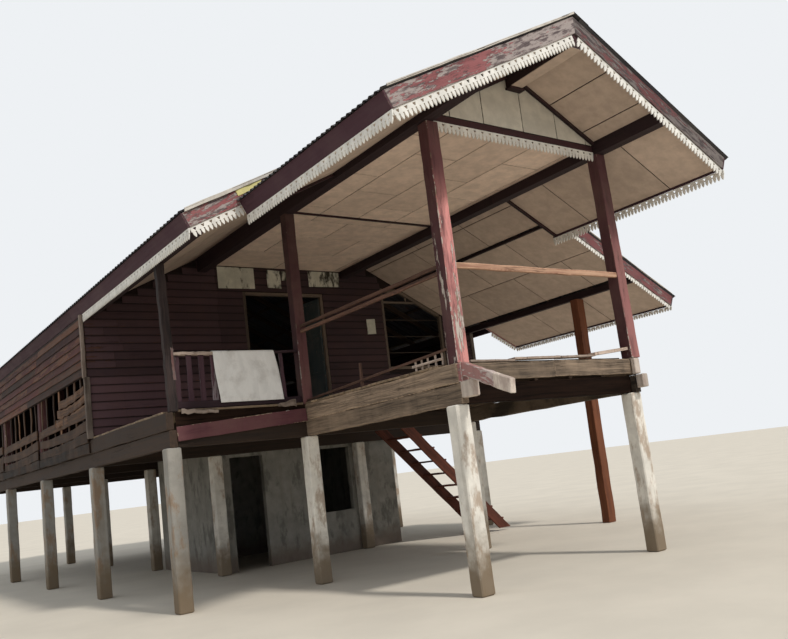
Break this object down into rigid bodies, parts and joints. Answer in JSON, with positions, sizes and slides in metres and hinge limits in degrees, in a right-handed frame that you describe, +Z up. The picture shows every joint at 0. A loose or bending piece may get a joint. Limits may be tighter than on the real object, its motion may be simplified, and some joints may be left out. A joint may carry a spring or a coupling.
{
  "type": "stilt house",
  "caption": "Timber house on concrete stilts with a gabled porch, a veranda, a roofed side wing, a steep stair and a plastered room between the stilts.",
  "frame": {"origin": "on the ground, at the centre of the house's bounding box seen from above", "axes": "+X to the right when facing the porch gable, +Y from the porch to the back along the ridges, +Z up"},
  "size_m": [8.2035, 16.62, 5.9024],
  "materials": {
    "concrete": "rough stained concrete, browner near the ground",
    "orange_wood": "bare orange-brown timber",
    "weathered_wood": "weathered grey-brown timber",
    "dark_wood": "dark timber in the shade of the floor and roof",
    "floor_boards": "worn floor boards with pale edges",
    "maroon_paint": "dark maroon paint, chalky and peeling",
    "faded_maroon_paint": "faded pinkish maroon paint over boards",
    "maroon_wall_paint": "maroon painted wall boards",
    "white_sheet": "white painted gable sheet, stained",
    "cream_sheet": "cream painted fibre-cement sheets",
    "roofing": "dark corrugated roofing, dull",
    "white_paint": "white painted fretwork",
    "white_plaster": "white plastered masonry, dusty at the foot",
    "stair_wood": "reddish brown stair timber"
  },
  "bodies": {
    "root": {"front_concrete_posts": "concrete", "side_concrete_posts": "concrete", "inner_concrete_posts": "concrete", "wing_post": "orange_wood", "porch_side_beams": "weathered_wood", "beam_noses": "faded_maroon_paint", "porch_front_beams": "weathered_wood", "left_floor_beam": "dark_wood", "cross_beams": "dark_wood", "floor_joists": "dark_wood", "porch_floor": "floor_boards", "veranda_floor": "floor_boards", "house_floor": "floor_boards", "veranda_fascia": "maroon_paint", "porch_posts": "maroon_paint", "veranda_post": "weathered_wood", "house_posts": "maroon_paint", "wall_plates": "maroon_paint", "gable_beams": "maroon_paint", "gable_panel": "white_sheet", "porch_ceiling": "cream_sheet", "porch_soffits": "cream_sheet", "main_soffits": "cream_sheet", "soffit_battens": "maroon_paint", "roof_rafters": "dark_wood", "roof_purlins": "dark_wood", "porch_roof_left": "roofing", "porch_roof_right": "roofing", "main_roof_left": "roofing", "main_roof_right": "roofing", "wing_roof": "roofing", "ridge_caps": "roofing", "bargeboards": "faded_maroon_paint", "eave_fascias": "faded_maroon_paint", "porch_fretwork": "white_paint", "main_fretwork": "white_paint", "front_wall": "maroon_wall_paint", "left_wall": "maroon_wall_paint", "left_parapet": "weathered_wood", "right_wall": "maroon_wall_paint", "back_wall": "maroon_wall_paint", "door_frame": "maroon_paint", "window_frames": "weathered_wood", "porch_rails": "weathered_wood", "veranda_railing": "weathered_wood", "room_walls": "white_plaster", "stair_stringers": "stair_wood", "stair_treads": "stair_wood"}
  },
  "joints": []
}
